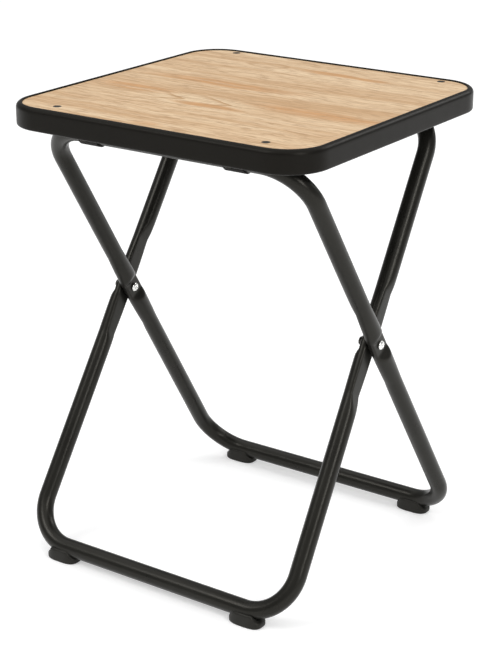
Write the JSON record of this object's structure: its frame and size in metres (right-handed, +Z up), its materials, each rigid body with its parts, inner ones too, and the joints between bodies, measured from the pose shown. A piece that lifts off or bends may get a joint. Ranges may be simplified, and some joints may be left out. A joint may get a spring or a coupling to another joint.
{
  "type": "folding stool",
  "caption": "Folding stool with a wood-look square seat in a black rim, hinged on crossed black tube frames that fold like scissors and stand on clip-on glides.",
  "frame": {"origin": "on the floor, under the centre of the seat", "axes": "+Z up, +X along the pivot line and hinge bar, -Y towards the hinge bar's side of the seat"},
  "size_m": [0.31, 0.31, 0.428],
  "materials": {
    "panel_board": "satin light oak laminate",
    "rim_moulding": "satin black",
    "frame_tube": "satin black powder coat on steel tube",
    "glide_plastic": "matt black",
    "fitting_plastic": "matt black",
    "strap_steel": "black coat",
    "bright_fastener": "bright nickel plate",
    "plated_fastener": "zinc plate",
    "dark_fastener": "black zinc"
  },
  "bodies": {
    "rear_frame": {"pivot_nut_left": "plated_fastener", "pivot_nut_right": "plated_fastener", "pivot_screw_left": "bright_fastener", "pivot_screw_right": "bright_fastener", "pivot_washer_left": "plated_fastener", "pivot_washer_right": "plated_fastener", "rear_glide_left": "glide_plastic", "rear_glide_right": "glide_plastic", "rear_leg_frame": "frame_tube"},
    "front_frame": {"front_glide_left": "glide_plastic", "front_glide_right": "glide_plastic", "front_leg_frame": "frame_tube"},
    "seat": {"cradle_panel_screw_left": "dark_fastener", "cradle_panel_screw_right": "dark_fastener", "hinge_panel_screw_left": "dark_fastener", "hinge_panel_screw_right": "dark_fastener", "hinge_saddle_left": "fitting_plastic", "hinge_saddle_right": "fitting_plastic", "hinge_strap_left": "strap_steel", "hinge_strap_right": "strap_steel", "hinge_strap_screw_left_front": "dark_fastener", "hinge_strap_screw_left_rear": "dark_fastener", "hinge_strap_screw_right_front": "dark_fastener", "hinge_strap_screw_right_rear": "dark_fastener", "rest_cradle_left": "fitting_plastic", "rest_cradle_right": "fitting_plastic", "seat_panel": "panel_board", "seat_rim": "rim_moulding"}
  },
  "joints": [
    {"name": "leg_fold", "type": "hinge", "parent": "rear_frame", "child": "front_frame", "pos_m": [0, -0.0056, 0.2243], "axis": [1, 0, 0], "range_deg": [0, 50]},
    {"name": "seat_hinge", "type": "hinge", "parent": "rear_frame", "child": "seat", "pos_m": [0, -0.12405, 0.4053], "axis": [1, 0, 0], "range_deg": [0, 100]}
  ],
  "couplings": [
    {"joint": "seat_hinge", "follows": "leg_fold", "ratio": 2}
  ]
}
